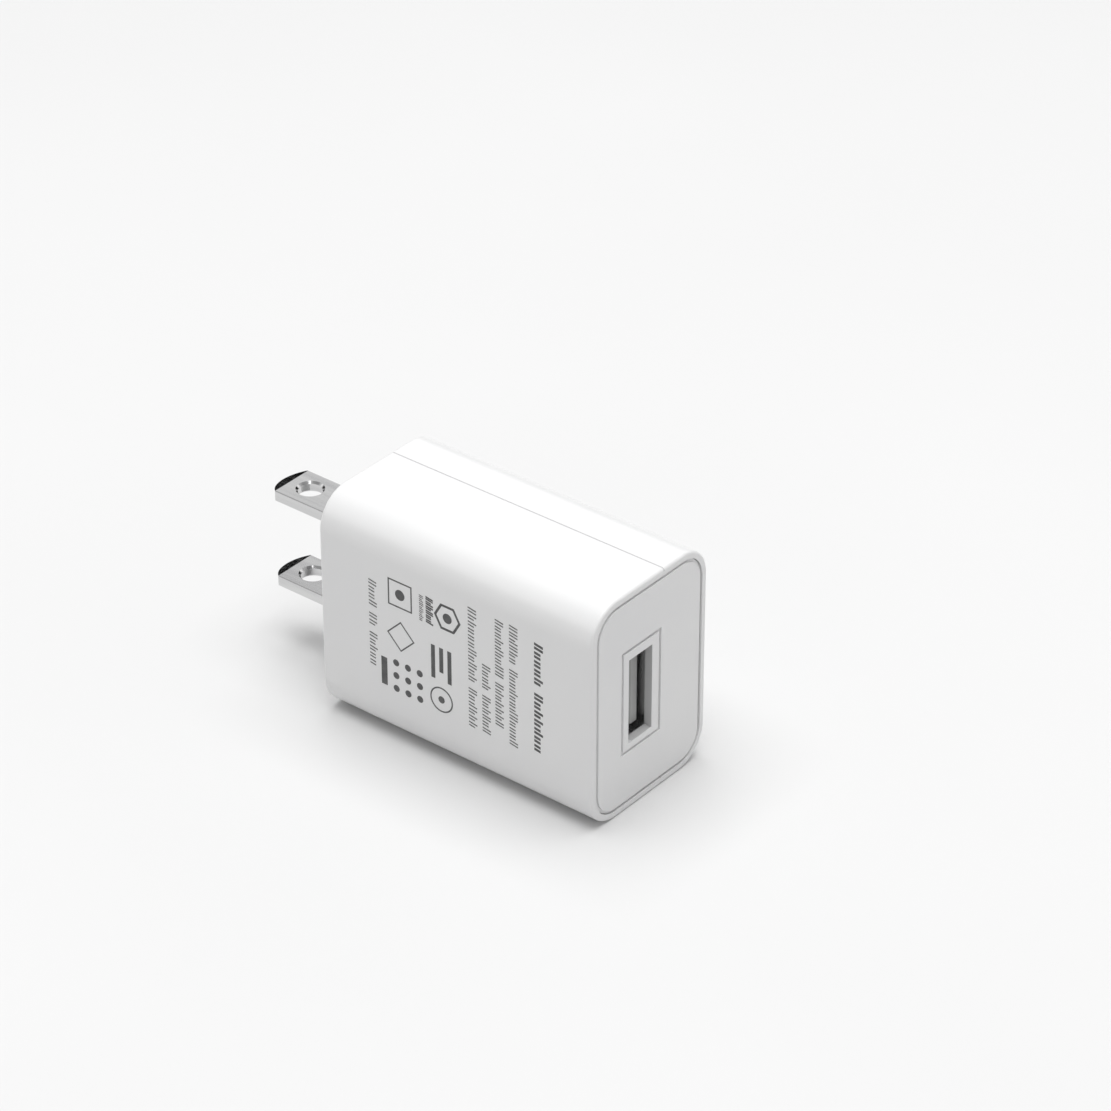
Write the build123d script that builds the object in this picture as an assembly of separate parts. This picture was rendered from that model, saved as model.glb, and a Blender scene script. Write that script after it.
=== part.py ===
from build123d import *
import os

os.makedirs("parts", exist_ok=True)

# A one-port USB wall charger with fixed flat blades, in millimetres.
# It stands on a narrow side: X runs across its thickness, Y from the USB end to the blades, and Z is up.

# Casing
BODY_W = 22.4  # thickness, along X
BODY_H = 31.4  # height as it stands, along Z
BODY_L = 42.7  # length without the blades, along Y
CORNER_R = 4.8  # round of the four long edges
WALL = 1.6
RIM_ROUND = 0.4  # round of the outer edge at both ends
SEAM_X = 2.6  # where the two halves of the casing meet
LAP_INSET = 0.8  # the lap joint's step lies halfway through the wall
LAP_REACH = 0.9
LAP_GAP = 0.05
SEAM_VEE = 0.16  # side of the square groove that marks the seam

# Blades, to the standard two-blade plug
BLADE_W = 6.35
BLADE_T = 1.52
BLADE_SPACING = 12.7
BLADE_OUT = 16.1  # from the rear face to the tip
BLADE_SHOULDER = 14.55  # from the rear face to where the tip's curve starts
TIP_BEVEL = 0.42  # how far each flat side falls away at the tip
BLADE_HOLE_R = 1.6
BLADE_HOLE_OUT = 11.45
BLADE_HOLE_CHAMFER = 0.28
BLADE_EDGE = 0.1
BLADE_SHANK = 4.6  # length held inside the rear panel and its bosses
TAIL_X = -0.8  # the solder tail stands off the centre line, clear of the board
TAIL_W = 1.7
TAIL_L = 3.1
BLADE_CLEAR = 0.05
KEY_FROM = 2.6  # the moulded keys that lock a blade by its edge notches
KEY_LONG = 1.1
KEY_DEEP = 0.6
BOSS_W = 9.4
BOSS_H = 4.2
WEB_HALF = 1.2

# Ends of the body, with the origin under the middle of the whole length
TOTAL_L = BODY_L + BLADE_OUT
FRONT = -TOTAL_L / 2
REAR = FRONT + BODY_L
MID_Z = BODY_H / 2

# End panels: depths are measured inwards from the end face
RIM = 0.93  # width of the casing's rim round a panel
BEAD_GROOVE = 0.55  # what is left of the wall outside the groove that holds a panel
BEAD_INSET = 0.62
BEAD_FROM = 1.25
BEAD_TO = 1.95
SEAT_FROM = 1.2
SEAT_TO = 2.0
PANEL_T = 1.95
FRONT_GAP = 0.08
REAR_GAP = 0.13
STEP_INSET = 1.38  # the front panel's raised face
STEP_DEPTH = 0.28

# USB port, centred on USB_X and USB_Z
USB_X = -1.76
USB_Z = 15.65
OPENING_W = 4.55
OPENING_H = 12.05
FRAME_X = -1.6  # the raised border round the opening stands a little off its centre
FRAME_Z = 15.8
FRAME_W = 6.8
FRAME_H = 14.05
FRAME_GROOVE = 0.45
COLLAR_WALL = 1.1
COLLAR_TO = 3.2
SHELL_W = 5.6
SHELL_H = 13.1
SHELL_T = 0.3
SHELL_FROM = 1.15  # depth of the metal shell's mouth
SHELL_TO = 14.1
SHELL_CORNER = 0.5
SHELL_LEG_Y = -20.5
SHELL_LEG_HALF = 1.0
POCKET_GAP = 0.06
TONGUE_T = 1.84
TONGUE_H = 10.9
TONGUE_FROM = 1.9
TONGUE_BACK_GAP = 0.44  # between the tongue's back and the shell's wall beside the board
TONGUE_CHAMFER = 0.34
TONGUE_BACK_X = USB_X + SHELL_W / 2 - SHELL_T - TONGUE_BACK_GAP
TONGUE_FACE_X = TONGUE_BACK_X - TONGUE_T  # the contacts' side, away from the board
BASE_FROM = 12.4
BASE_TO = 14.9
BASE_GAP = 0.03
CONTACT_OFFSETS = (3.5, 1.0, -1.0, -3.5)
CONTACT_W = 1.0
CONTACT_T = 0.25
CONTACT_ROOT_X = TONGUE_FACE_X + 0.68
CONTACT_TAIL_W = 0.5
TAIL_PIN_Y = FRONT + BASE_TO + 0.35
SLOT_W = 1.3
SLOT_DEPTH = 1.3
SLOT_FROM = 2.8
FINGER_ROOT = 12.1  # depth of the finger's bend line
FINGER_CROWN = 4.4
FINGER_RISE = 0.42  # how far the crown stands out of the tongue
FINGER_TIP = 3.1
FINGER_TIP_IN = 0.5
FINGER_BEND = 0.9
SPRING_W = 1.9
SPRING_L = 4.6
SPRING_GAP = 0.14
SPRING_DIP = 0.34
SPRING_OFFSETS = (3.1, -3.1)
SPRING_FROM = 4.6
SPRING_T = SHELL_T - 0.04
SPRING_WALL = SHELL_W / 2 - SHELL_T / 2  # from the port's centre line to the middle of the shell's wall

# Board, upright and parallel to the wide faces
BOARD_X = 1.05  # its component side
BOARD_T = 1.2
BOARD_FRONT = -26.0
BOARD_REAR = 7.8
BOARD_EDGE_GAP = 0.25
BOARD_SOLDER_X = BOARD_X + BOARD_T
LEAD_R = 0.3
LEAD_END_X = BOARD_SOLDER_X + 0.75
HOLE_R = 0.42
RIB_PLACES = (-25.0, -16.2, 2.0)
RIB_LONG = 1.4
RIB_TALL = 1.9
RIB_GAP = 0.06
SOLDER_FOOT_R = 0.72
SOLDER_TOP_R = 0.42
SOLDER_TALL = 0.5
SHEET_T = 0.25
SHEET_Y = (-11.5, 8.5)
SHEET_EDGE = 5.0

# Wires from the blades to the board
WIRE_CORE_R = 0.3
WIRE_JACKET_R = 0.6
WIRE_BEND = 1.2
WIRE_Y = REAR - BLADE_SHANK - 2.1
WIRE_RUN = 3.6

# Transformer
CORE_X = -4.3
CORE_Y = -6.9
CORE_SPAN = 13.3
CORE_THICK = 6.0
CORE_HALF = 6.1
CORE_BACK = 2.6
CENTRE_LEG = 3.0
OUTER_LEG = 2.6
BOBBIN_WALL = 0.5
BOBBIN_FLANGE = 0.6
BOBBIN_TALL = 9.8
PIN_ROWS = 4.9
PIN_PITCH = 2.8
CORE_WINDOW = (CORE_SPAN - CENTRE_LEG - 2 * OUTER_LEG) / 2
CORE_JOINT = 0.02  # half the gap where the two E cores meet
FORMER_GAP = 0.08
COIL_LONG = 2.7
COIL_DEEP = 1.35
TAPE_T = 0.12
TAPE_GAP = 0.02

# Electrolytic capacitors
SLEEVE_T = 0.1
SEAL_T = 1.1
CAN_ROUND = 0.45
CRIMP_Z = 1.75
CRIMP_R = 0.4
OUTPUT_DIA = 6.5
OUTPUT_TALL = 9.2
OUTPUT_PITCH = 2.5
OUTPUT_Y = -20.6
OUTPUT_STEP = SHELL_H / 2 + 0.3 + OUTPUT_DIA / 2
INPUT_DIA = 7.6
INPUT_TALL = 10.2
INPUT_PITCH = 3.5
INPUT_X = -5.4
INPUT_Y = 3.9
INPUT_SPLIT = 1.75  # from the middle of the body to each seal
INPUT_LEAD_STEP = 0.95

# Small parts on the component side
RESISTOR_X = -0.8
RESISTOR_Y = -7.7
RESISTOR_Z = 5.6
RESISTOR_HALF = 3.7
RESISTOR_R = 1.25
RESISTOR_CAP_R = 1.5
RESISTOR_CAP_L = 1.9
CHOKE_Y = -10.4
CHOKE_Z = 26.2
CHOKE_R = 2.6
CHOKE_CORE_R = 1.2
CHOKE_FLANGE = 0.9
CHOKE_TALL = 6.6
CHOKE_PITCH = 3.2
SAFETY_X = -3.4
SAFETY_Y = -4.6
SAFETY_Z = 26.2
SAFETY_R = 3.2
SAFETY_T = 2.8
SAFETY_PITCH = 3.8

# Parts on the solder side, each placed by its centre (y, z)
FOOT_X = BOARD_SOLDER_X + 0.12
LEG_T = 0.16
CHIP_ROUND = 0.2
CHIP_LONG = 2.0
CHIP_WIDE = 1.25
CHIP_RESISTOR_TALL = 0.5
CHIP_CAPACITOR_TALL = 1.1
CHIP_RESISTORS_ALONG = [(-6.9, 13.4), (-6.9, 11.4), (2.4, 9.6)]
CHIP_RESISTORS_ACROSS = [(-8.2, 8.6), (-5.0, 8.6)]
CHIP_CAPACITORS_ALONG = [(-11.6, 23.2), (1.4, 18.6)]
CHIP_CAPACITORS_ACROSS = [(-17.6, 24.6), (-10.8, 8.4)]

board_holes = []  # (y, z) of every lead that goes through the board


def block(x0, x1, y0, y1, z0, z1):
    """A box given by its corners."""
    return Pos((x0 + x1) / 2, (y0 + y1) / 2, (z0 + z1) / 2) * Box(x1 - x0, y1 - y0, z1 - z0)


def prism(inset, y0, y1):
    """The casing's section shrunk by inset, from y0 to y1."""
    section = RectangleRounded(BODY_W - 2 * inset, BODY_H - 2 * inset, CORNER_R - inset)
    return Pos(0, y0, MID_Z) * Rot(-90, 0, 0) * extrude(section, y1 - y0)


def band(inset, end, d0, d1):
    """The casing's section shrunk by inset, between two depths from one end face."""
    if end == "front":
        return prism(inset, FRONT + d0, FRONT + d1)
    return prism(inset, REAR - d1, REAR - d0)


def front_block(x, z, w, h, d0, d1):
    """A box centred on (x, z), between two depths from the front face."""
    return block(x - w / 2, x + w / 2, FRONT + d0, FRONT + d1, z - h / 2, z + h / 2)


def port_block(w, h, d0, d1):
    """A box on the USB port's centre line, between two depths from the front face."""
    return front_block(USB_X, USB_Z, w, h, d0, d1)


def rod_x(x0, x1, y, z, r):
    """A round rod along X."""
    return Pos((x0 + x1) / 2, y, z) * Rot(0, 90, 0) * Cylinder(r, x1 - x0)


def bent_wire(points, bend, r):
    """A round wire along straight runs joined by tangent arcs."""
    path = FilletPolyline(*points, radius=bend)
    start = Plane(path @ 0, z_dir=path % 0)
    return sweep(start * Circle(r), path)


def lead(y, z, x0):
    """A straight lead from x0 through the board, which notes its hole."""
    board_holes.append((y, z))
    return rod_x(x0, LEAD_END_X, y, z, LEAD_R)


def save(node, *solids):
    """Writes one node; a group of like pieces is written as separate solids."""
    shape = solids[0] if len(solids) == 1 else Compound([piece.solid() for piece in solids])
    export_step(shape, f"parts/{node}.step")


# ---- casing halves ----


def whole_casing():
    """Both halves as one, with the grooves that hold the end panels."""
    outer = prism(0, FRONT, REAR)
    ends = outer.faces().sort_by(Axis.Y)
    outer = fillet(ends[0].edges() + ends[-1].edges(), RIM_ROUND)
    hollow = prism(WALL, FRONT, REAR)
    for end in ("front", "rear"):
        hollow += band(RIM, end, 0, SEAT_FROM)
        hollow += band(BEAD_GROOVE, end, SEAT_FROM, SEAT_TO)
    casing = outer - hollow
    for z in (0, BODY_H):
        vee = Box(SEAM_VEE, BODY_L, SEAM_VEE)
        casing -= Pos(SEAM_X, (FRONT + REAR) / 2, z) * Rot(0, 45, 0) * vee
    return casing


def lap(inset, reach, end_gap):
    """The inner half of the wall, just past the seam."""
    ring = prism(inset, FRONT + SEAT_TO + end_gap, REAR - SEAT_TO - end_gap) - prism(WALL, FRONT, REAR)
    return ring & block(SEAM_X - LAP_GAP, SEAM_X + reach, FRONT, REAR, -1, BODY_H + 1)


def board_ribs(x0, x1, wall_from):
    """Short ribs on the bottom and top walls that clamp the board's edges."""
    ribs = []
    for y in RIB_PLACES:
        y0, y1 = y - RIB_LONG / 2, y + RIB_LONG / 2
        low = block(x0, x1, y0, y1, WALL + LAP_GAP, WALL + RIB_TALL)
        low += block(wall_from, x1, y0, y1, WALL - 0.3, WALL + RIB_TALL)
        ribs.append(low)
        ribs.append(mirror(low, Plane.XY.offset(MID_Z)))
    return ribs


def casing_halves():
    """The deep half carries the lap's tongue, the shallow half its rebate."""
    casing = whole_casing()
    side = BODY_W
    deep = casing & block(-side, SEAM_X, FRONT - 1, REAR + 1, -1, BODY_H + 1)
    deep += lap(LAP_INSET + LAP_GAP, LAP_REACH, LAP_GAP)
    for rib in board_ribs(BOARD_X - 1.9, BOARD_X - RIB_GAP, BOARD_X - 1.9):
        deep += rib
    shallow = casing & block(SEAM_X, side, FRONT - 1, REAR + 1, -1, BODY_H + 1)
    shallow -= lap(LAP_INSET, LAP_REACH + LAP_GAP, 0)
    clear_of_lap = SEAM_X + LAP_REACH + 0.2
    for rib in board_ribs(BOARD_SOLDER_X + RIB_GAP, BOARD_SOLDER_X + 4.6, clear_of_lap):
        shallow += rib
    return deep, shallow


# ---- end panels ----


def front_panel():
    """The USB end: a raised face inside a stepped edge, a framed opening and a collar for the receptacle."""
    panel = band(RIM + FRONT_GAP, "front", STEP_DEPTH, PANEL_T)
    panel += band(STEP_INSET, "front", 0, STEP_DEPTH)
    panel += band(BEAD_INSET, "front", BEAD_FROM, BEAD_TO)
    wide = 2 * FRAME_GROOVE
    groove = front_block(FRAME_X, FRAME_Z, FRAME_W + wide, FRAME_H + wide, 0, STEP_DEPTH)
    panel -= groove - front_block(FRAME_X, FRAME_Z, FRAME_W, FRAME_H, 0, STEP_DEPTH)
    collar = 2 * COLLAR_WALL
    panel += port_block(SHELL_W + collar, SHELL_H + collar, PANEL_T, COLLAR_TO)
    panel -= port_block(OPENING_W, OPENING_H, 0, COLLAR_TO)
    room = 2 * POCKET_GAP
    panel -= port_block(SHELL_W + room, SHELL_H + room, SHELL_FROM - 0.05, COLLAR_TO)
    return panel


def blade_heights():
    return (MID_Z + BLADE_SPACING / 2, MID_Z - BLADE_SPACING / 2)


def rear_panel():
    """The plug end: a flat panel moulded round the blades, with a boss behind it for each."""
    panel = band(RIM + REAR_GAP, "rear", 0, PANEL_T)
    panel += band(BEAD_INSET, "rear", BEAD_FROM, BEAD_TO)
    back = REAR - BLADE_SHANK
    high, low = blade_heights()
    panel += block(-WEB_HALF, WEB_HALF, back + WEB_HALF, REAR - PANEL_T, low, high)
    for z in (high, low):
        boss = block(-BOSS_W / 2, BOSS_W / 2, back, REAR - PANEL_T, z - BOSS_H / 2, z + BOSS_H / 2)
        half_w = BLADE_W / 2 + BLADE_CLEAR
        half_t = BLADE_T / 2 + BLADE_CLEAR
        slot = block(-half_w, half_w, back - 1, REAR + 1, z - half_t, z + half_t)
        panel += boss
        panel -= slot
        for side in (-1, 1):
            x0, x1 = sorted((side * (half_w - KEY_DEEP + BLADE_CLEAR), side * (half_w + 0.2)))
            y1 = REAR - KEY_FROM
            panel += block(x0, x1, y1 - KEY_LONG, y1, z - half_t, z + half_t)
    return panel


# ---- blades and their wires ----


def blade(z):
    """A flat blade with a rounded, bevelled tip, a cross hole, edge notches and a solder tail."""
    half = BLADE_W / 2
    root = REAR - BLADE_SHANK
    shoulder = REAR + BLADE_SHOULDER
    tip = REAR + BLADE_OUT
    outline = [
        Line((-half, root), (-half, shoulder)),
        ThreePointArc((-half, shoulder), (0, tip), (half, shoulder)),
        Line((half, shoulder), (half, root)),
        Line((half, root), (-half, root)),
    ]
    plate = Pos(0, 0, z - BLADE_T / 2) * extrude(make_face(outline), BLADE_T)
    plate = chamfer(plate.edges().filter_by(Axis.Y), BLADE_EDGE)
    fall = TIP_BEVEL / (tip - shoulder)
    past = tip + 0.5
    for up in (-1, 1):
        top = z + up * BLADE_T / 2
        low = top - up * fall * (past - shoulder)
        corners = [(shoulder, top), (past, low), (past, top + up), (shoulder, top + up)]
        wedge = Polygon(*corners, align=None)
        plate -= extrude(Plane.YZ * wedge, half + 1, both=True)
    hole_y = REAR + BLADE_HOLE_OUT
    plate -= Pos(0, hole_y, z) * Cylinder(BLADE_HOLE_R, 2 * BLADE_T)
    rims = plate.edges().filter_by(GeomType.CIRCLE).filter_by(lambda e: abs(e.radius - BLADE_HOLE_R) < 0.01)
    plate = chamfer(rims, BLADE_HOLE_CHAMFER)
    y1 = REAR - KEY_FROM + BLADE_CLEAR
    for side in (-1, 1):
        x0, x1 = sorted((side * (half - KEY_DEEP), side * (half + 1)))
        plate -= block(x0, x1, y1 - KEY_LONG - 2 * BLADE_CLEAR, y1, z - 2, z + 2)
    x0, x1 = TAIL_X - TAIL_W / 2, TAIL_X + TAIL_W / 2
    plate += block(x0, x1, root - TAIL_L, root, z - BLADE_T / 2, z + BLADE_T / 2)
    return plate - Pos(TAIL_X, WIRE_Y, z) * Cylinder(WIRE_CORE_R + 0.08, 2 * BLADE_T)


def wire(z, inward):
    """The bare core and the jacket of the wire from one blade's tail to the board."""
    far = z + inward * WIRE_RUN
    board_holes.append((WIRE_Y, far))
    core_route = [(TAIL_X, WIRE_Y, z - inward * 1.1), (TAIL_X, WIRE_Y, far), (LEAD_END_X, WIRE_Y, far)]
    jacket_route = [(TAIL_X, WIRE_Y, z + inward * 1.1), (TAIL_X, WIRE_Y, far), (BOARD_X - 0.3, WIRE_Y, far)]
    core = bent_wire(core_route, WIRE_BEND, WIRE_CORE_R)
    bore = bent_wire(core_route, WIRE_BEND, WIRE_CORE_R + 0.01)
    jacket = bent_wire(jacket_route, WIRE_BEND, WIRE_JACKET_R) - bore
    return core, jacket


# ---- USB receptacle ----

def usb_shell():
    """A folded metal tube with windows for its retention springs and two legs through the board."""
    tube = port_block(SHELL_W, SHELL_H, SHELL_FROM, SHELL_TO)
    tube = fillet(tube.edges().filter_by(Axis.Y), SHELL_CORNER)
    bore = port_block(SHELL_W - 2 * SHELL_T, SHELL_H - 2 * SHELL_T, SHELL_FROM - 1, SHELL_TO + 1)
    tube -= fillet(bore.edges().filter_by(Axis.Y), SHELL_CORNER - SHELL_T)
    for z in SPRING_OFFSETS:
        half = SPRING_W / 2 + SPRING_GAP
        y0 = FRONT + SPRING_FROM
        y1 = y0 + SPRING_L + 2 * SPRING_GAP
        tube -= block(USB_X - SHELL_W, USB_X + SHELL_W, y0, y1, USB_Z + z - half, USB_Z + z + half)
    for side in (-1, 1):
        z0, z1 = sorted((side * (SHELL_H / 2 - SHELL_T), side * SHELL_H / 2))
        y0, y1 = SHELL_LEG_Y - SHELL_LEG_HALF, SHELL_LEG_Y + SHELL_LEG_HALF
        tube += block(USB_X, BOARD_SOLDER_X + 0.9, y0, y1, USB_Z + z0, USB_Z + z1)
    return tube


def retention_spring(side, offset):
    """A tab lanced from a wide wall of the shell, bent inwards to its free end."""
    x = USB_X + side * SPRING_WALL
    y = FRONT + SPRING_FROM + SPRING_GAP
    path = Polyline((x, y), (x, y + 0.5), (x - side * SPRING_DIP, y + SPRING_L))
    z = USB_Z + offset - SPRING_W / 2
    return Pos(0, 0, z) * extrude(trace(path, SPRING_T), SPRING_W)


def usb_insulator():
    """The white moulding: a base that closes the shell and a tongue with a slot under each finger."""
    room = 2 * (SHELL_T + BASE_GAP)
    base = port_block(SHELL_W - room, SHELL_H - room, BASE_FROM, BASE_TO)
    base = fillet(base.edges().filter_by(Axis.Y), SHELL_CORNER / 2)
    half = TONGUE_H / 2
    y0, y1 = FRONT + TONGUE_FROM, FRONT + BASE_FROM
    tongue = block(TONGUE_FACE_X, TONGUE_BACK_X, y0, y1, USB_Z - half, USB_Z + half)
    tongue = chamfer(tongue.faces().sort_by(Axis.Y)[0].edges().filter_by(Axis.Z), TONGUE_CHAMFER)
    body = base + tongue
    for offset in CONTACT_OFFSETS:
        z = USB_Z + offset
        half = SLOT_W / 2
        floor = TONGUE_FACE_X + SLOT_DEPTH
        body -= block(TONGUE_FACE_X - 1, floor, FRONT + SLOT_FROM, y1, z - half, z + half)
        half = CONTACT_W / 2
        x0, x1 = CONTACT_ROOT_X - 0.2, CONTACT_ROOT_X + 0.2
        body -= block(x0, x1, y1 - 0.4, FRONT + BASE_TO + 1, z - half, z + half)
    return body


def contact_finger(offset):
    """One spring contact: it rises from its root to a rounded crown and dips again to its tip."""
    route = [
        (CONTACT_ROOT_X, FRONT + FINGER_ROOT),
        (CONTACT_ROOT_X, FRONT + FINGER_ROOT - 1.0),
        (TONGUE_FACE_X - FINGER_RISE, FRONT + FINGER_CROWN),
        (TONGUE_FACE_X + FINGER_TIP_IN, FRONT + FINGER_TIP),
    ]
    path = FilletPolyline(*route, radius=FINGER_BEND)
    z = USB_Z + offset - CONTACT_W / 2
    return Pos(0, 0, z) * extrude(trace(path, CONTACT_T), CONTACT_W)


def contact_tail(offset):
    """The fixed end of one contact: through the base and down through the board."""
    z = USB_Z + offset
    board_holes.append((TAIL_PIN_Y, z))
    start = FRONT + FINGER_ROOT + 0.15
    route = [(CONTACT_ROOT_X, start), (CONTACT_ROOT_X, TAIL_PIN_Y), (LEAD_END_X, TAIL_PIN_Y)]
    path = FilletPolyline(*route, radius=0.3)
    return Pos(0, 0, z - CONTACT_TAIL_W / 2) * extrude(trace(path, CONTACT_T), CONTACT_TAIL_W)


# ---- transformer ----


def core_block(x_half, y0, y1, z0, z1):
    """A box on the core's own centre."""
    return block(CORE_X - x_half, CORE_X + x_half, CORE_Y + y0, CORE_Y + y1, USB_Z + z0, USB_Z + z1)


def core_half(side):
    """One E of ferrite: a back with three legs, which meet the other E's legs in the middle."""
    half = CORE_SPAN / 2
    legs = [(-CENTRE_LEG / 2, CENTRE_LEG / 2), (half - OUTER_LEG, half), (-half, OUTER_LEG - half)]
    y0, y1 = sorted((side * (CORE_HALF - CORE_BACK), side * CORE_HALF))
    core = core_block(CORE_THICK / 2, y0, y1, -half, half)
    y0, y1 = sorted((side * CORE_JOINT, side * CORE_HALF))
    for z0, z1 in legs:
        core += core_block(CORE_THICK / 2, y0, y1, z0, z1)
    return core


def bobbin():
    """The coil former: a square tube on the centre leg, two flanges and two pin rails."""
    wall = BOBBIN_WALL
    long = CORE_HALF - CORE_BACK - 0.1
    tube_x = CORE_THICK / 2 + FORMER_GAP
    tube_z = CENTRE_LEG / 2 + FORMER_GAP
    reach = CENTRE_LEG / 2 + CORE_WINDOW - 0.15
    former = core_block(tube_x + wall, -long, long, -tube_z - wall, tube_z + wall)
    for side in (-1, 1):
        y0, y1 = sorted((side * (long - BOBBIN_FLANGE), side * long))
        former += core_block(BOBBIN_TALL / 2, y0, y1, -reach, reach)
        y0, y1 = sorted((side * (long - BOBBIN_FLANGE), side * (CORE_HALF + 0.1)))
        rail_x0 = CORE_X + CORE_THICK / 2 + 0.1
        half = CORE_SPAN / 2 - 0.6
        former += block(rail_x0, BOARD_X - 0.25, CORE_Y + y0, CORE_Y + y1, USB_Z - half, USB_Z + half)
    return former - core_block(tube_x, -long - 1, long + 1, -tube_z, tube_z)


def wound_block(grow, long):
    """A soft-cornered block round the former, for the copper and for the tape over it."""
    x_half = CORE_THICK / 2 + FORMER_GAP + BOBBIN_WALL + grow
    z_half = CENTRE_LEG / 2 + FORMER_GAP + BOBBIN_WALL + grow
    solid = core_block(x_half, -long, long, -z_half, z_half)
    return fillet(solid.edges().filter_by(Axis.Y), 0.05 + grow * 0.8)


def windings():
    """The copper, as one body between the flanges."""
    return wound_block(COIL_DEEP, COIL_LONG) - wound_block(TAPE_GAP, COIL_LONG + 1)


def coil_tape():
    """The insulating tape over the copper."""
    inside = COIL_DEEP + TAPE_GAP
    return wound_block(inside + TAPE_T, COIL_LONG) - wound_block(inside, COIL_LONG + 1)


def transformer_pins():
    """Eight pins from the bobbin's rails into the board."""
    pins = []
    for y in (CORE_Y - PIN_ROWS, CORE_Y + PIN_ROWS):
        for place in (-1.5, -0.5, 0.5, 1.5):
            pins.append(lead(y, USB_Z + place * PIN_PITCH, BOARD_X - 0.24))
    return pins


# ---- electrolytic capacitors: built upright on their rubber end, then placed ----


def capacitor_pieces(dia, tall, pitch):
    """The can, its printed sleeve and its rubber seal."""
    r = dia / 2 - SLEEVE_T - 0.02
    can = Pos(0, 0, tall / 2) * Cylinder(r, tall - 0.3)
    can = fillet(can.edges().sort_by(Axis.Z)[-1], CAN_ROUND)
    can -= Pos(0, 0, CRIMP_Z) * Torus(r + 0.18, CRIMP_R)
    can -= Pos(0, 0, SEAL_T / 2) * Cylinder(r - 0.25, SEAL_T + 0.1)
    sleeve = Pos(0, 0, tall / 2) * Cylinder(dia / 2, tall)
    sleeve -= Pos(0, 0, tall / 2 - SLEEVE_T) * Cylinder(dia / 2 - SLEEVE_T, tall)
    sleeve -= Pos(0, 0, tall) * Cylinder(dia / 2 - 0.8, 1)
    seal = Pos(0, 0, SEAL_T / 2 + 0.1) * Cylinder(r - 0.28, SEAL_T - 0.1)
    for side in (-1, 1):
        seal -= Pos(side * pitch / 2, 0, 0) * Cylinder(LEAD_R + 0.02, 4)
    return can, sleeve, seal


def output_capacitors():
    """Two cans that stand on the board, one each side of the USB receptacle."""
    sets = []
    leads = []
    for side in (1, -1):
        z = USB_Z + side * OUTPUT_STEP
        place = Pos(BOARD_X - 0.05, OUTPUT_Y, z) * Rot(0, -90, 0) * Rot(0, 0, 90)
        sets.append([place * piece for piece in capacitor_pieces(OUTPUT_DIA, OUTPUT_TALL, OUTPUT_PITCH)])
        for end in (-1, 1):
            leads.append(lead(OUTPUT_Y + end * OUTPUT_PITCH / 2, z, BOARD_X - 0.6))
    return sets, leads


def input_capacitors():
    """Two high-voltage cans that lie end to end, seals together, with their leads bent to the board."""
    sets = []
    leads = []
    for side in (1, -1):
        z = MID_Z + side * INPUT_SPLIT
        turn = Rot(0, 0, 90) if side > 0 else Rot(180, 0, 0) * Rot(0, 0, 90)
        place = Pos(INPUT_X, INPUT_Y, z) * turn
        sets.append([place * piece for piece in capacitor_pieces(INPUT_DIA, INPUT_TALL, INPUT_PITCH)])
        bend_z = MID_Z + side * INPUT_LEAD_STEP
        for end in (-1, 1):
            y = INPUT_Y + end * INPUT_PITCH / 2
            board_holes.append((y, bend_z))
            route = [(INPUT_X, y, z + side * 0.7), (INPUT_X, y, bend_z), (LEAD_END_X, y, bend_z)]
            leads.append(bent_wire(route, 0.6, LEAD_R))
    return sets, leads


# ---- small parts on the component side ----

def fusible_resistor():
    """A lacquered dumbbell along Y with its leads bent to the board."""
    body = Cylinder(RESISTOR_R, 2 * RESISTOR_HALF)
    cap = Cylinder(RESISTOR_CAP_R, RESISTOR_CAP_L)
    cap = fillet(cap.edges().filter_by(GeomType.CIRCLE), 0.5)
    for side in (-1, 1):
        body += Pos(0, 0, side * (RESISTOR_HALF - RESISTOR_CAP_L / 2)) * cap
    body = Pos(RESISTOR_X, RESISTOR_Y, RESISTOR_Z) * Rot(90, 0, 0) * body
    leads = []
    for side in (-1, 1):
        start = RESISTOR_Y + side * (RESISTOR_HALF + 0.01)
        out = start + side * 1.9
        board_holes.append((out, RESISTOR_Z))
        corners = [(RESISTOR_X, start), (RESISTOR_X, out), (LEAD_END_X, out)]
        leads.append(bent_wire([(x, y, RESISTOR_Z) for x, y in corners], 0.8, LEAD_R))
    return body, leads


def choke():
    """A ferrite drum that stands on the board, with its coil between the flanges."""
    foot = BOARD_X - 0.15
    top = foot - CHOKE_TALL
    drum = rod_x(top, foot, CHOKE_Y, CHOKE_Z, CHOKE_CORE_R)
    for x in (foot - CHOKE_FLANGE, top):
        drum += rod_x(x, x + CHOKE_FLANGE, CHOKE_Y, CHOKE_Z, CHOKE_R)
    gap = CHOKE_FLANGE + 0.02
    coil = rod_x(top + gap, foot - gap, CHOKE_Y, CHOKE_Z, CHOKE_R - 0.15)
    coil -= rod_x(top, foot, CHOKE_Y, CHOKE_Z, CHOKE_CORE_R + 0.02)
    leads = [lead(CHOKE_Y + side * CHOKE_PITCH / 2, CHOKE_Z, foot + 0.01) for side in (-1, 1)]
    return drum, coil, leads


def safety_capacitor():
    """A lacquered ceramic disc on edge, across the gap between the mains side and the output side."""
    start = SAFETY_X + SAFETY_R / 2
    leads = [lead(SAFETY_Y, SAFETY_Z + side * SAFETY_PITCH / 2, start) for side in (-1, 1)]
    disc = fillet(Cylinder(SAFETY_R, SAFETY_T).edges().filter_by(GeomType.CIRCLE), 1.1)
    body = Pos(SAFETY_X, SAFETY_Y, SAFETY_Z) * Rot(90, 0, 0) * disc
    for disc_lead in leads:
        body -= disc_lead
    return body, leads


# ---- parts on the solder side ----


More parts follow.
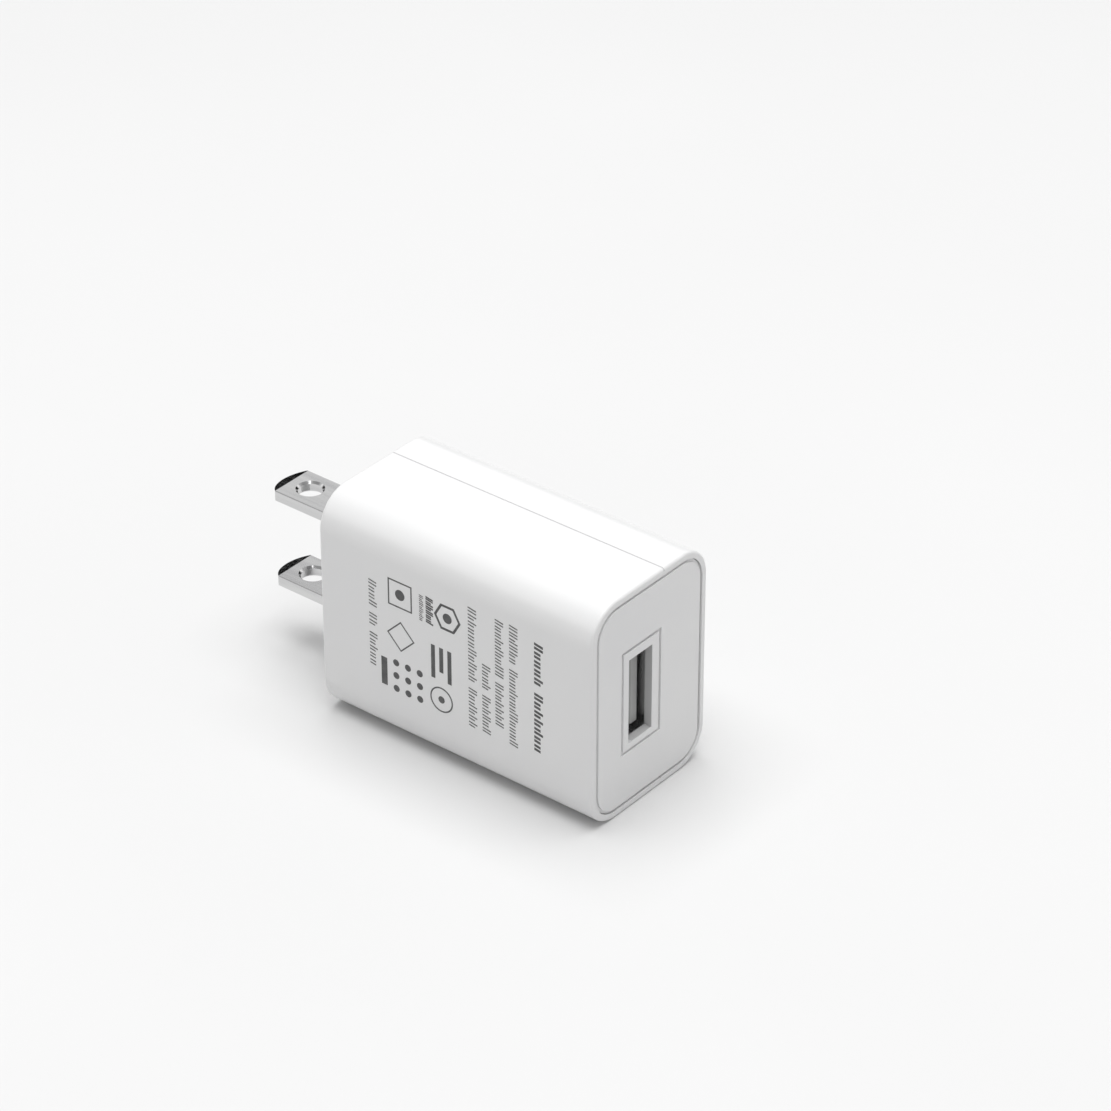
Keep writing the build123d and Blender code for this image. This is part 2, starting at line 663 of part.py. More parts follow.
def chip_package(y, z, long, wide, tall, lead_places, lead_w, reach):
    """A moulded body with gull-wing leads on its two long sides."""
    body = block(FOOT_X, FOOT_X + tall, y - long / 2, y + long / 2, z - wide / 2, z + wide / 2)
    body = chamfer(body.faces().sort_by(Axis.X)[-1].edges(), CHIP_ROUND)
    feet = []
    mid = tall / 2
    for side in (-1, 1):
        edge = z + side * (wide / 2 + 0.01)
        bend = edge + side * 0.3
        toe = edge + side * reach
        low = BOARD_SOLDER_X + 0.1
        for place in lead_places:
            down = bend + side * 0.15
            route = Polyline((FOOT_X + mid, edge), (FOOT_X + mid, bend), (low, down), (low, toe))
            foot = Rot(90, 0, 0) * extrude(trace(route, LEG_T), lead_w)
            feet.append(Pos(0, y + place + lead_w / 2, 0) * foot)
    return body, feet


def chip_pieces(along, across, tall):
    """Bare chip resistors or capacitors, some lying along the board and some across it."""
    x0 = BOARD_SOLDER_X + 0.04
    pieces = []
    for places, dy, dz in ((along, CHIP_LONG, CHIP_WIDE), (across, CHIP_WIDE, CHIP_LONG)):
        for y, z in places:
            pieces.append(block(x0, x0 + tall, y - dy / 2, y + dy / 2, z - dz / 2, z + dz / 2))
    return pieces


# ---- board ----


def main_board():
    """The printed circuit board, cut for every lead and for the receptacle's legs."""
    gap = WALL + BOARD_EDGE_GAP
    board = block(BOARD_X, BOARD_SOLDER_X, BOARD_FRONT, BOARD_REAR, gap, BODY_H - gap)
    for side in (-1, 1):
        z = USB_Z + side * (SHELL_H - SHELL_T) / 2
        half = SHELL_LEG_HALF + 0.2
        board -= block(0, 4, SHELL_LEG_Y - half, SHELL_LEG_Y + half, z - 0.4, z + 0.4)
    for y, z in board_holes:
        board -= rod_x(0, 4, y, z, HOLE_R)
    return board


def solder_joints():
    """A fillet of solder round every lead on the solder side."""
    joints = []
    for y, z in board_holes:
        cone = Cone(SOLDER_FOOT_R, SOLDER_TOP_R, SOLDER_TALL)
        joint = Pos(BOARD_SOLDER_X + SOLDER_TALL / 2 + 0.01, y, z) * Rot(0, 90, 0) * cone
        joints.append(joint - rod_x(0, 4, y, z, LEAD_R + 0.02))
    return joints


def insulation_sheet():
    """A sheet of insulating film on the inside of the shallow half."""
    x1 = BODY_W / 2 - WALL - 0.05
    return block(x1 - SHEET_T, x1, *SHEET_Y, SHEET_EDGE, BODY_H - SHEET_EDGE)


# ---- the charger ----

deep_half, shallow_half = casing_halves()
save("label_side_shell", deep_half)
save("plain_side_shell", shallow_half)
save("front_panel", front_panel())
save("rear_panel", rear_panel())

for name, z, inward in (("upper", blade_heights()[0], -1), ("lower", blade_heights()[1], 1)):
    save(f"blade_{name}", blade(z))
    core, jacket = wire(z, inward)
    save(f"wire_core_{name}", core)
    save(f"wire_jacket_{name}", jacket)

save("usb_shell", usb_shell())
save("usb_insulator", usb_insulator())
for number, offset in enumerate(CONTACT_OFFSETS, start=1):
    save(f"contact_finger_{number}", contact_finger(offset))
save("contact_tails", *[contact_tail(offset) for offset in CONTACT_OFFSETS])
for name, side in (("outer", -1), ("board", 1)):
    for number, offset in enumerate(SPRING_OFFSETS, start=1):
        save(f"retention_spring_{name}_{number}", retention_spring(side, offset))

save("transformer_core_front", core_half(-1))
save("transformer_core_rear", core_half(1))
save("transformer_bobbin", bobbin())
save("transformer_windings", windings())
save("transformer_tape", coil_tape())
save("transformer_pins", *transformer_pins())

seals = []
leads = []
for name, (sets, own_leads) in (("input", input_capacitors()), ("output", output_capacitors())):
    for number, (can, sleeve, seal) in enumerate(sets, start=1):
        save(f"{name}_capacitor_can_{number}", can)
        save(f"{name}_capacitor_sleeve_{number}", sleeve)
        seals.append(seal)
    leads.extend(own_leads)
save("capacitor_seals", *seals)
save("capacitor_leads", *leads)

resistor_body, resistor_leads = fusible_resistor()
save("fusible_resistor", resistor_body)
save("fusible_resistor_leads", *resistor_leads)
drum, coil, choke_leads = choke()
save("choke_drum", drum)
save("choke_coil", coil)
save("choke_leads", *choke_leads)
disc, disc_leads = safety_capacitor()
save("safety_capacitor", disc)
save("safety_capacitor_leads", *disc_leads)

# each package: y, z, length, width, height, places of its leads, their width and reach
packages = {
    "bridge_rectifier": (2.6, 23.4, 4.7, 3.9, 2.3, (-1.3, 1.3), 0.7, 1.3),
    "controller_chip": (-6.9, 17.6, 4.9, 3.9, 1.4, (-1.9, -0.63, 0.63, 1.9), 0.42, 1.0),
    "output_diode": (-20.6, 15.8, 2.7, 4.2, 2.2, (0,), 1.5, 0.75),
}
for name, sizes in packages.items():
    body, feet = chip_package(*sizes)
    save(name, body)
    save(f"{name}_leads", *feet)
save("chip_resistors", *chip_pieces(CHIP_RESISTORS_ALONG, CHIP_RESISTORS_ACROSS, CHIP_RESISTOR_TALL))
save("chip_capacitors", *chip_pieces(CHIP_CAPACITORS_ALONG, CHIP_CAPACITORS_ACROSS, CHIP_CAPACITOR_TALL))

save("main_board", main_board())
save("solder_joints", *solder_joints())
save("insulation_sheet", insulation_sheet())
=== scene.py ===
import math
import random

import bmesh
import bpy
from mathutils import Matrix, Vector


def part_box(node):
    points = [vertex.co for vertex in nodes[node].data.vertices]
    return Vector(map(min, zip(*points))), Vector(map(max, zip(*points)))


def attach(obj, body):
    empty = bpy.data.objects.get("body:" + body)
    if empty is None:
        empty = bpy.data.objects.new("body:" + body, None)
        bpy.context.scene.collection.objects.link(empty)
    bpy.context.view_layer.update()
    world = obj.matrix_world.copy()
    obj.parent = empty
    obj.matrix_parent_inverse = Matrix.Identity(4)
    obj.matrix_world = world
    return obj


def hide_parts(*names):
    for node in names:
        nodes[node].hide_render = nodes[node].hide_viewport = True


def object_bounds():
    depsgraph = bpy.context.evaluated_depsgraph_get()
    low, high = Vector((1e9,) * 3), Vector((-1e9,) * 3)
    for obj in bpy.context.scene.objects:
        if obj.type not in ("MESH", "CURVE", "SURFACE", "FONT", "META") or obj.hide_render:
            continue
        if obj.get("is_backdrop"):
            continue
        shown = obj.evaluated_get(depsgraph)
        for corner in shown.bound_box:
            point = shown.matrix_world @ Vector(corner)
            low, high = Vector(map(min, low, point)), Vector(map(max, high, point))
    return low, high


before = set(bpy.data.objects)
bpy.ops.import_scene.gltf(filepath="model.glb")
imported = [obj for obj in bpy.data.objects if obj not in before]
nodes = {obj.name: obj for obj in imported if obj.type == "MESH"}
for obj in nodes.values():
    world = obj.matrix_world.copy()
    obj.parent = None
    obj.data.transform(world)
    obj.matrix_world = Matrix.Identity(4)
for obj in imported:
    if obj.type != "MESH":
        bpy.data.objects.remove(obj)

cad_low, cad_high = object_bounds()

# ---- Casing halves ----
# Two injection-moulded shells of white ABS. A lap joint runs round the seam and is welded shut with
# ultrasound; the polished mould leaves a satin gloss with a faint ripple.

MM = 0.001


def surface(name, dark, light, cloud, grain, gloss, relief, stretch=(1, 1, 1), **fixed):
    """A finish that varies over the piece: cloudy colour, then grain in its gloss and its relief.

    cloud and grain are patches per metre, relief is in millimetres, and stretch draws the grain out
    along the axes where it is below 1."""
    material = bpy.data.materials.new(name)
    material.use_nodes = True
    tree = material.node_tree
    shader = tree.nodes["Principled BSDF"]
    place = tree.nodes.new("ShaderNodeTexCoord")
    draw = tree.nodes.new("ShaderNodeMapping")
    draw.inputs["Scale"].default_value = stretch
    clouds = tree.nodes.new("ShaderNodeTexNoise")
    clouds.inputs["Scale"].default_value = cloud
    clouds.inputs["Detail"].default_value = 4.0
    grains = tree.nodes.new("ShaderNodeTexNoise")
    grains.inputs["Scale"].default_value = grain
    grains.inputs["Detail"].default_value = 3.0
    tone = tree.nodes.new("ShaderNodeValToRGB")
    tone.color_ramp.elements[0].position = 0.35
    tone.color_ramp.elements[0].color = (*dark, 1)
    tone.color_ramp.elements[1].position = 0.65
    tone.color_ramp.elements[1].color = (*light, 1)
    shine = tree.nodes.new("ShaderNodeMapRange")
    shine.inputs["From Min"].default_value = 0.3
    shine.inputs["From Max"].default_value = 0.7
    shine.inputs["To Min"].default_value = gloss[0]
    shine.inputs["To Max"].default_value = gloss[1]
    bump = tree.nodes.new("ShaderNodeBump")
    bump.inputs["Distance"].default_value = relief * MM
    link = tree.links.new
    link(place.outputs["Object"], draw.inputs["Vector"])
    link(draw.outputs["Vector"], clouds.inputs["Vector"])
    link(draw.outputs["Vector"], grains.inputs["Vector"])
    link(clouds.outputs["Fac"], tone.inputs["Fac"])
    link(tone.outputs["Color"], shader.inputs["Base Color"])
    link(grains.outputs["Fac"], shine.inputs["Value"])
    link(shine.outputs["Result"], shader.inputs["Roughness"])
    link(grains.outputs["Fac"], bump.inputs["Height"])
    link(bump.outputs["Normal"], shader.inputs["Normal"])
    for socket, value in fixed.items():
        shader.inputs[socket.replace("_", " ")].default_value = value
    return material


def dress(material, *names):
    """Puts one material on CAD nodes, in place of what they came with."""
    for node_name in names:
        slots = nodes[node_name].data.materials
        slots.clear()
        slots.append(material)


def tint_inside(material, low, high, tint):
    """Multiplies a material's colour by a tint between two corners of a box."""
    tree = material.node_tree
    shader = tree.nodes["Principled BSDF"]
    split = tree.nodes.new("ShaderNodeSeparateXYZ")
    tree.links.new(tree.nodes["Texture Coordinate"].outputs["Object"], split.inputs["Vector"])
    inside = None
    for axis, near, far in zip("XYZ", low, high):
        for limit, test in ((near, "GREATER_THAN"), (far, "LESS_THAN")):
            side = tree.nodes.new("ShaderNodeMath")
            side.operation = test
            side.inputs[1].default_value = limit
            tree.links.new(split.outputs[axis], side.inputs[0])
            if inside:
                both = tree.nodes.new("ShaderNodeMath")
                both.operation = "MULTIPLY"
                tree.links.new(inside, both.inputs[0])
                tree.links.new(side.outputs["Value"], both.inputs[1])
                side = both
            inside = side.outputs["Value"]
    mix = tree.nodes.new("ShaderNodeMix")
    mix.data_type = "RGBA"
    mix.blend_type = "MULTIPLY"
    mix.inputs[7].default_value = (*tint, 1)
    tree.links.new(inside, mix.inputs[0])
    tree.links.new(shader.inputs["Base Color"].links[0].from_socket, mix.inputs[6])
    tree.links.new(mix.outputs[2], shader.inputs["Base Color"])


# Painted shade: a grey band along the seam, where the two shells meet, stands in for the shadow in the
# seam's groove.
SEAM_X = 2.6 * MM
SEAM_SHADE_HALF = 0.11 * MM
SEAM_SHADE_TINT = (0.74, 0.74, 0.74)
casing_white = surface(
    "casing_white", (0.76, 0.76, 0.763), (0.775, 0.775, 0.775),
    cloud=60, grain=160, gloss=(0.285, 0.31), relief=0.002,
)
seam_shade_low = Vector((SEAM_X - SEAM_SHADE_HALF, cad_low[1], -MM))
seam_shade_high = Vector((SEAM_X + SEAM_SHADE_HALF, cad_high[1], cad_high[2] + MM))
tint_inside(casing_white, seam_shade_low, seam_shade_high, SEAM_SHADE_TINT)
dress(casing_white, "label_side_shell", "plain_side_shell")

# ---- Front panel ----
# The USB end is a third white moulding, trapped in a groove between the two shells. It is a touch more
# matt than the casing, and its opening's walls carry painted shade, greyer than the face.

front_white = surface(
    "front_white", (0.75, 0.75, 0.755), (0.775, 0.775, 0.775),
    cloud=90, grain=300, gloss=(0.36, 0.39), relief=0.001,
)
# Painted shade: the walls of the opening, from just behind the face inward, are tinted grey for the
# shade inside the port.
PORT_SHADE_FROM = 0.06 * MM
PORT_SHADE_TINT = (0.74, 0.74, 0.74)
OPENING_HALF = Vector((2.6, 0, 6.4)) * MM
shell_low, shell_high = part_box("usb_shell")
port_centre = (shell_low + shell_high) / 2
port_shade_low = port_centre - OPENING_HALF
port_shade_low.y = cad_low[1] + PORT_SHADE_FROM
port_shade_high = port_centre + OPENING_HALF
tint_inside(front_white, port_shade_low, port_shade_high, PORT_SHADE_TINT)
dress(front_white, "front_panel")

# ---- Rear panel ----
# The plug end is moulded round the blades from a flame-retardant grade, a little greyer than the
# casing. Like the front, it is trapped in a groove between the two shells.

rear_white = surface(
    "rear_white", (0.73, 0.73, 0.73), (0.76, 0.76, 0.758),
    cloud=90, grain=300, gloss=(0.38, 0.42), relief=0.001,
)
dress(rear_white, "rear_panel")

# ---- Blades ----
# Two flat brass blades, stamped, bevelled at the tip and nickel-plated. The rolled strip's fine grain
# still shows along them under the plating.

blade_nickel = surface(
    "blade_nickel", (0.56, 0.56, 0.565), (0.66, 0.66, 0.66),
    cloud=700, grain=5200, gloss=(0.1, 0.2), relief=0.0008, stretch=(1, 0.07, 1), Metallic=1.0,
)
dress(blade_nickel, "blade_upper", "blade_lower")

# ---- Wires from the blades ----
# A tinned wire is hooked through each blade's tail, soldered, and led to the board. A soft PVC jacket
# covers it from the bend on: red for one line, black for the other.

tinned_copper = surface(
    "tinned_copper", (0.6, 0.58, 0.55), (0.75, 0.74, 0.71),
    cloud=2500, grain=6000, gloss=(0.2, 0.4), relief=0.01, Metallic=1.0,
)
jacket_red = surface(
    "jacket_red", (0.46, 0.025, 0.02), (0.56, 0.04, 0.03),
    cloud=900, grain=3000, gloss=(0.35, 0.5), relief=0.006,
)
jacket_black = surface(
    "jacket_black", (0.018, 0.018, 0.02), (0.035, 0.035, 0.036),
    cloud=900, grain=3000, gloss=(0.35, 0.5), relief=0.006,
)
dress(tinned_copper, "wire_core_upper", "wire_core_lower")
dress(jacket_red, "wire_jacket_upper")
dress(jacket_black, "wire_jacket_lower")

# ---- USB receptacle ----
# A folded tin-plated steel tube with four lanced springs, a white moulded tongue and base, and four
# phosphor-bronze contacts, flashed with gold where they touch the plug.

usb_steel = surface(
    "usb_steel", (0.42, 0.42, 0.43), (0.56, 0.56, 0.56),
    cloud=500, grain=3000, gloss=(0.24, 0.34), relief=0.0015, stretch=(1, 1, 0.04), Metallic=1.0,
)
dress(usb_steel, "usb_shell")
for wall in ("outer", "board"):
    dress(usb_steel, f"retention_spring_{wall}_1", f"retention_spring_{wall}_2")
# Painted shade: the white tongue and base are coloured mid grey for the shade they sit in inside the
# port.
tongue_grey_painted_shade = surface(
    "tongue_grey_painted_shade", (0.41, 0.41, 0.405), (0.46, 0.46, 0.455),
    cloud=300, grain=3600, gloss=(0.4, 0.5), relief=0.002,
)
dress(tongue_grey_painted_shade, "usb_insulator")
contact_gold = surface(
    "contact_gold", (0.72, 0.46, 0.17), (0.83, 0.58, 0.26),
    cloud=900, grain=5000, gloss=(0.14, 0.3), relief=0.003, stretch=(1, 0.2, 1), Metallic=1.0,
)
dress(contact_gold, "contact_tails", *[f"contact_finger_{number}" for number in (1, 2, 3, 4)])

# ---- Transformer core and former ----
# Two pressed and sintered ferrite E cores, dark grey and slightly gritty, slid into a black phenolic
# former. Eight tinned pins in the former's rails carry it on the board.

ferrite = surface(
    "ferrite", (0.035, 0.035, 0.038), (0.075, 0.073, 0.07),
    cloud=1800, grain=7000, gloss=(0.45, 0.75), relief=0.02,
)
former_black = surface(
    "former_black", (0.012, 0.012, 0.012), (0.026, 0.025, 0.024),
    cloud=400, grain=2500, gloss=(0.3, 0.45), relief=0.006,
)
tinned_pin = surface(
    "tinned_pin", (0.62, 0.62, 0.6), (0.78, 0.78, 0.76),
    cloud=2000, grain=5000, gloss=(0.18, 0.34), relief=0.004, Metallic=1.0,
)
dress(ferrite, "transformer_core_front", "transformer_core_rear")
dress(former_black, "transformer_bobbin")
dress(tinned_pin, "transformer_pins")

# ---- Transformer windings ----
# Enamelled copper wire, wound turn beside turn in layers between the former's flanges. Every layer is
# one wire that climbs by its own thickness each time round.


def round_loop(half_x, half_z, corner, turn):
    """A point on a rounded rectangle about the origin, once round for each whole turn."""
    straight_x = half_x - corner
    straight_z = half_z - corner
    quarter = corner * math.pi / 2
    runs = [2 * straight_z, quarter, 2 * straight_x, quarter] * 2
    along = (turn % 1.0) * sum(runs)
    side = 0
    while along > runs[side]:
        along -= runs[side]
        side += 1
    signs = [(1, 1), (-1, 1), (-1, -1), (1, -1)]
    centres = [(sx * straight_x, sz * straight_z) for sx, sz in signs]
    which = side // 2
    if side % 2:
        angle = which * math.pi / 2 + along / corner
        x, z = centres[which]
        return x + corner * math.cos(angle), z + corner * math.sin(angle)
    starts = [(half_x, -straight_z), (straight_x, half_z), (-half_x, straight_z), (-straight_x, -half_z)]
    steps = [(0, 1), (-1, 0), (0, -1), (1, 0)]
    return starts[which][0] + steps[which][0] * along, starts[which][1] + steps[which][1] * along


def new_piece(name, bm, material, body="charger_body", smooth=True):
    """Turns finished mesh data into a piece that rides on a body."""
    bmesh.ops.recalc_face_normals(bm, faces=bm.faces)
    mesh = bpy.data.meshes.new(name)
    bm.to_mesh(mesh)
    bm.free()
    mesh.materials.append(material)
    for face in mesh.polygons:
        face.use_smooth = smooth
    piece = bpy.data.objects.new(name, mesh)
    bpy.context.scene.collection.objects.link(piece)
    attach(piece, body)
    return piece


def sweep_wire(bm, points, radius, sides=6):
    """A round wire through points that lie close together, closed at both ends."""
    rings = []
    for index, point in enumerate(points):
        before = points[max(index - 1, 0)]
        after = points[min(index + 1, len(points) - 1)]
        ahead = (after - before).normalized()
        across = ahead.orthogonal() if not rings else (side - ahead * side.dot(ahead))
        side = across.normalized()
        up = ahead.cross(side)
        ring = []
        for corner in range(sides):
            angle = 2 * math.pi * corner / sides
            ring.append(bm.verts.new(point + (side * math.cos(angle) + up * math.sin(angle)) * radius))
        rings.append(ring)
    for near, far in zip(rings, rings[1:]):
        for corner in range(sides):
            after = (corner + 1) % sides
            bm.faces.new((near[corner], near[after], far[after], far[corner]))
    bm.faces.new(rings[0])
    bm.faces.new(rings[-1])


coil_low, coil_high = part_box("transformer_windings")
coil_centre = (coil_low + coil_high) / 2
coil_half = (coil_high - coil_low) / 2
MAGNET_WIRE_R = 0.13 * MM
COIL_LAYERS = 5
COIL_STEPS = 40
COIL_CORNER = 1.1 * MM
TIGHTEST_CORNER = 0.15 * MM
# How far apart layers and turns lie, and how far in the first wire lies, all in wire radii.
LAYER_NEST = 1.9
TURN_PITCH = 2.03
WIRE_CLEARANCE = 1.05
layer_step = MAGNET_WIRE_R * LAYER_NEST
layer_turns = int((2 * coil_half.y - 2 * MAGNET_WIRE_R) / (TURN_PITCH * MAGNET_WIRE_R))
bm = bmesh.new()
for layer in range(COIL_LAYERS):
    shrink = MAGNET_WIRE_R * WIRE_CLEARANCE + layer * layer_step
    corner = max(COIL_CORNER - shrink, TIGHTEST_CORNER)
    route = []
    for step in range(layer_turns * COIL_STEPS + 1):
        turn = step / COIL_STEPS
        x, z = round_loop(coil_half.x - shrink, coil_half.z - shrink, corner, turn)
        along = (turn / layer_turns - 0.5) * 2 * (coil_half.y - MAGNET_WIRE_R * WIRE_CLEARANCE)
        route.append(coil_centre + Vector((x, along if layer % 2 else -along, z)))
    sweep_wire(bm, route, MAGNET_WIRE_R)
enamelled_copper = surface(
    "enamelled_copper", (0.52, 0.17, 0.06), (0.68, 0.27, 0.1),
    cloud=1500, grain=4000, gloss=(0.2, 0.34), relief=0.003, Metallic=0.85, Coat_Weight=0.4,
)
windings = new_piece("wound_turns", bm, enamelled_copper)
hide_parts("transformer_windings")

# ---- Transformer tape ----
# Yellow polyester tape, wrapped two and a half times over the copper. The free end lies flat on the
# outer wrap, and the edges are a little ragged.

tape_low, tape_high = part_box("transformer_tape")
tape_half = (tape_high - tape_low) / 2
TAPE_WRAPS = 2.5
TAPE_FILM = 0.035 * MM
TAPE_STEPS = 48
TAPE_BUILD = 0.12 * MM
TAPE_CORNER = 1.2 * MM
TAPE_START = 0.1
RAGGED_EDGE = 0.05
bm = bmesh.new()
rows = []
rng = random.Random(5)
for step in range(int(TAPE_WRAPS * TAPE_STEPS) + 1):
    turn = step / TAPE_STEPS
    sink = (1 - turn / TAPE_WRAPS) * (TAPE_BUILD - TAPE_FILM)
    half_x, half_z = tape_half.x - sink, tape_half.z - sink
    edge = tape_half.y - rng.uniform(0.0, RAGGED_EDGE) * MM
    round_by = TAPE_CORNER - sink
    outer = round_loop(half_x, half_z, round_by, turn + TAPE_START)
    inner = round_loop(half_x - TAPE_FILM, half_z - TAPE_FILM, round_by - TAPE_FILM, turn + TAPE_START)
    corners = [(outer, -edge), (outer, edge), (inner, edge), (inner, -edge)]
    rows.append([bm.verts.new(coil_centre + Vector((x, y, z))) for (x, z), y in corners])
for near, far in zip(rows, rows[1:]):
    for corner in range(4):
        after = (corner + 1) % 4
        bm.faces.new((near[corner], near[after], far[after], far[corner]))
bm.faces.new(rows[0])
bm.faces.new(rows[-1])
tape_yellow = surface(
    "tape_yellow", (0.72, 0.47, 0.03), (0.82, 0.58, 0.06),
    cloud=500, grain=1800, gloss=(0.16, 0.3), relief=0.004,
)
tape = new_piece("wrapped_tape", bm, tape_yellow, smooth=False)
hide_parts("transformer_tape")

# ---- Electrolytic capacitors ----
# Drawn aluminium cans crimped on a black rubber seal, in a shrunk film sleeve. The input cans are the
# tall high-voltage ones; a pale stripe of bars down the sleeve marks the negative side.

can_aluminium = surface(
    "can_aluminium", (0.68, 0.69, 0.7), (0.78, 0.79, 0.8),
    cloud=600, grain=3500, gloss=(0.25, 0.4), relief=0.004, Metallic=1.0,
)
seal_rubber = surface(
    "seal_rubber", (0.02, 0.02, 0.02), (0.04, 0.04, 0.04),
    cloud=900, grain=4000, gloss=(0.6, 0.8), relief=0.02,
)
sleeve_film = surface(
    "sleeve_film", (0.018, 0.028, 0.06), (0.03, 0.042, 0.085),
    cloud=300, grain=1600, gloss=(0.16, 0.26), relief=0.006,
)
stripe_ink = surface(
    "stripe_ink", (0.55, 0.57, 0.58), (0.63, 0.64, 0.65),
    cloud=800, grain=3000, gloss=(0.3, 0.45), relief=0.003,
)
dress(seal_rubber, "capacitor_seals")
STRIPE_SPAN = math.radians(44)
STRIPE_BARS = 5
STRIPE_ANGLES = {"input": 0.4, "output": 2.2}
STRIPE_END_GAP = 0.5 * MM
BAR_SHARE = 0.72
PATCH_STEPS = 10
INK = 0.012 * MM


def curved_patch(bm, centre, axis, radius, angle, span, start, stop):
    """A thin patch of ink laid on a round sleeve: angles go round the axis, start and stop along it."""
    first = axis.orthogonal().normalized()
    second = axis.cross(first)
    rows = []
    for step in range(PATCH_STEPS + 1):
        turn = angle + span * (step / PATCH_STEPS - 0.5)
        out = first * math.cos(turn) + second * math.sin(turn)
        low, high = out * (radius - INK), out * (radius + INK)
        ends = [low + axis * start, high + axis * start, high + axis * stop, low + axis * stop]
        rows.append([bm.verts.new(centre + end) for end in ends])
    for near, far in zip(rows, rows[1:]):
        for corner in range(4):
            after = (corner + 1) % 4
            bm.faces.new((near[corner], near[after], far[after], far[corner]))
    bm.faces.new(rows[0])
    bm.faces.new(rows[-1])


for kind, stripe_angle in STRIPE_ANGLES.items():
    for number in (1, 2):
        dress(can_aluminium, f"{kind}_capacitor_can_{number}")
        sleeve = f"{kind}_capacitor_sleeve_{number}"
        dress(sleeve_film, sleeve)
        low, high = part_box(sleeve)
        size = high - low
        axis = Vector((1, 0, 0)) if size.x > size.z else Vector((0, 0, 1))
        radius = size.y / 2
        half = size.dot(axis) / 2 - STRIPE_END_GAP
        bm = bmesh.new()
        pitch = 2 * half / STRIPE_BARS
        for bar in range(STRIPE_BARS):
            start = -half + bar * pitch
            stop = start + BAR_SHARE * pitch
            curved_patch(bm, (low + high) / 2, axis, radius, stripe_angle, STRIPE_SPAN, start, stop)
        new_piece(f"{kind}_stripe_{number}", bm, stripe_ink, smooth=False)
dress(tinned_pin, "capacitor_leads")

# ---- Fusible resistor ----
# A film resistor dipped in pale green lacquer, thicker over its two end caps. Four rings of coloured
# ink go round its waist; it doubles as the fuse on the mains side.

resistor_lacquer = surface(
    "resistor_lacquer", (0.2, 0.42, 0.33), (0.27, 0.5, 0.4),
    cloud=600, grain=2200, gloss=(0.2, 0.34), relief=0.012,
)
dress(resistor_lacquer, "fusible_resistor")
dress(tinned_pin, "fusible_resistor_leads")
BAND_R = 1.262 * MM
BAND_HALF = 0.26 * MM
BAND_PITCH = 0.85
BAND_PALER = 1.25
BAND_COLOURS = {
    "brown": (0.16, 0.06, 0.025),
    "black": (0.015, 0.015, 0.015),
    "gold": (0.55, 0.38, 0.1),
    "violet": (0.2, 0.06, 0.3),
}
resistor_low, resistor_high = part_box("fusible_resistor")
resistor_centre = (resistor_low + resistor_high) / 2
middle_place = (len(BAND_COLOURS) - 1) / 2
for place, (colour, tone) in enumerate(BAND_COLOURS.items()):
    middle = (place - middle_place) * BAND_PITCH * MM
    bm = bmesh.new()
    start = middle - BAND_HALF
    stop = middle + BAND_HALF
    curved_patch(bm, resistor_centre, Vector((0, 1, 0)), BAND_R - INK, 0, 2 * math.pi, start, stop)
    paler = tuple(min(1.0, channel * BAND_PALER) for channel in tone)
    band_ink = surface(
        f"band_{colour}", tone, paler,
        cloud=900, grain=2600, gloss=(0.25, 0.4), relief=0.004,
    )
    new_piece(f"resistor_band_{colour}", bm, band_ink)

# ---- Choke ----
# A ferrite drum wound with thick enamelled wire in two layers, standing on the board between the
# output capacitors and the transformer.

dress(ferrite, "choke_drum")
dress(tinned_pin, "choke_leads")
choke_low, choke_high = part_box("choke_coil")
choke_centre = (choke_low + choke_high) / 2
CHOKE_WIRE_R = 0.2 * MM
CHOKE_STEPS = 28
CHOKE_LAYERS = 2
CHOKE_NEST = 1.8
CHOKE_PITCH = 2.04
choke_half = (choke_high.x - choke_low.x) / 2 - CHOKE_WIRE_R
choke_turns = int(2 * choke_half / (CHOKE_PITCH * CHOKE_WIRE_R))
bm = bmesh.new()
for layer in range(CHOKE_LAYERS):
    reach = (choke_high.y - choke_low.y) / 2 - CHOKE_WIRE_R * (1 + CHOKE_NEST * layer)
    route = []
    for step in range(choke_turns * CHOKE_STEPS + 1):
        angle = 2 * math.pi * step / CHOKE_STEPS
        along = (step / (choke_turns * CHOKE_STEPS) - 0.5) * 2 * choke_half
        route.append(choke_centre + Vector((along, reach * math.cos(angle), reach * math.sin(angle))))
    sweep_wire(bm, route, CHOKE_WIRE_R)
choke_wire = new_piece("choke_turns", bm, enamelled_copper)
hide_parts("choke_coil")

# ---- Safety capacitor ----
# A ceramic disc dipped in blue lacquer, which runs a little way down its two leads. It bridges the
# gap between the mains side and the output side.

disc_blue = surface(
    "disc_blue", (0.02, 0.09, 0.3), (0.035, 0.13, 0.4),
    cloud=500, grain=1500, gloss=(0.14, 0.26), relief=0.02,
)
dress(disc_blue, "safety_capacitor")
dress(tinned_pin, "safety_capacitor_leads")

# ---- Chips on the solder side ----
# Epoxy-moulded packages with tinned gull-wing leads, bare chip resistors of alumina under black
# glass, and tan ceramic chip capacitors, all reflowed on the copper side.

chip_epoxy = surface(
    "chip_epoxy", (0.014, 0.014, 0.015), (0.03, 0.03, 0.03),
    cloud=1200, grain=6500, gloss=(0.5, 0.7), relief=0.012,
)
chip_glass = surface(
    "chip_glass", (0.03, 0.03, 0.034), (0.06, 0.06, 0.065),
    cloud=1500, grain=5000, gloss=(0.2, 0.35), relief=0.004,
)
chip_ceramic = surface(
    "chip_ceramic", (0.42, 0.3, 0.18), (0.52, 0.39, 0.25),
    cloud=1800, grain=5500, gloss=(0.4, 0.6), relief=0.008,
)
for package in ("bridge_rectifier", "controller_chip", "output_diode"):
    dress(chip_epoxy, package)
    dress(tinned_pin, f"{package}_leads")
dress(chip_glass, "chip_resistors")
dress(chip_ceramic, "chip_capacitors")

# ---- Board ----
# A single-sided laminate, buff on the component side and green with solder mask on the copper side.
# The glass weave shows faintly through; every lead comes through it into a bright cone of solder.

